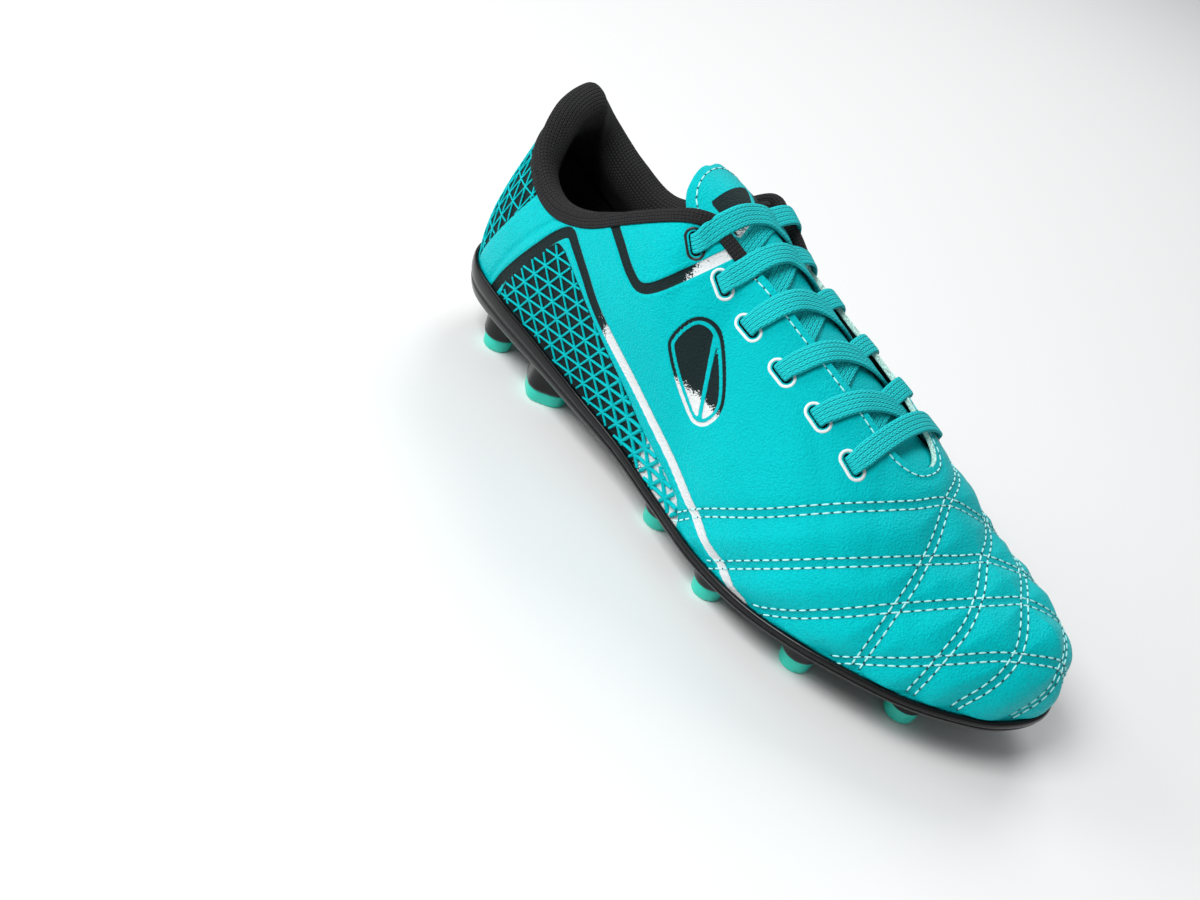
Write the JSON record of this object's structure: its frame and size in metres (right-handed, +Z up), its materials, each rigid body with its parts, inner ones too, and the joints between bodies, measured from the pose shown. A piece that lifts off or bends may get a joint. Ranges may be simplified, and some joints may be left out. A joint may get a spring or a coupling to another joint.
{
  "type": "football shoe",
  "caption": "Low-cut right football shoe: turquoise leather-look upper, padded black collar, flat lace over a tongue, and a black moulded sole with round and chevron studs.",
  "frame": {"origin": "middle of the box in X and Y, on the ground under the stud tips", "axes": "+X towards the toe, +Y towards the medial side, +Z up; the stud tips stand on Z = 0"},
  "size_m": [0.2698, 0.0948, 0.1147],
  "materials": {
    "upper_leather": "turquoise synthetic leather, fine pebble grain, satin",
    "sole_plastic": "black moulded thermoplastic, glossy",
    "insole_fabric": "dark woven insole cover",
    "collar_mesh": "black padded knitted mesh",
    "tongue_leather": "turquoise synthetic leather, satin",
    "stud_tip_plastic": "teal green moulded plastic, semi-gloss",
    "lace_fabric": "turquoise flat woven lace"
  },
  "bodies": {
    "root": {"upper": "upper_leather", "outsole": "sole_plastic", "insole": "insole_fabric", "collar_lining": "collar_mesh", "tongue": "tongue_leather", "stud_tip_lateral_1": "stud_tip_plastic", "stud_tip_lateral_2": "stud_tip_plastic", "stud_tip_lateral_3": "stud_tip_plastic", "stud_tip_lateral_4": "stud_tip_plastic", "stud_tip_medial_1": "stud_tip_plastic", "stud_tip_medial_2": "stud_tip_plastic", "stud_tip_medial_3": "stud_tip_plastic", "stud_tip_medial_4": "stud_tip_plastic", "stud_tip_heel_lateral": "stud_tip_plastic", "stud_tip_heel_medial": "stud_tip_plastic", "stud_tip_blade_lateral": "stud_tip_plastic", "stud_tip_blade_medial": "stud_tip_plastic", "stud_tip_blade_centre": "stud_tip_plastic", "lace_crossing_1": "lace_fabric", "lace_crossing_2": "lace_fabric", "lace_crossing_3": "lace_fabric", "lace_crossing_4": "lace_fabric", "lace_crossing_5": "lace_fabric", "lace_bar": "lace_fabric"}
  },
  "joints": []
}
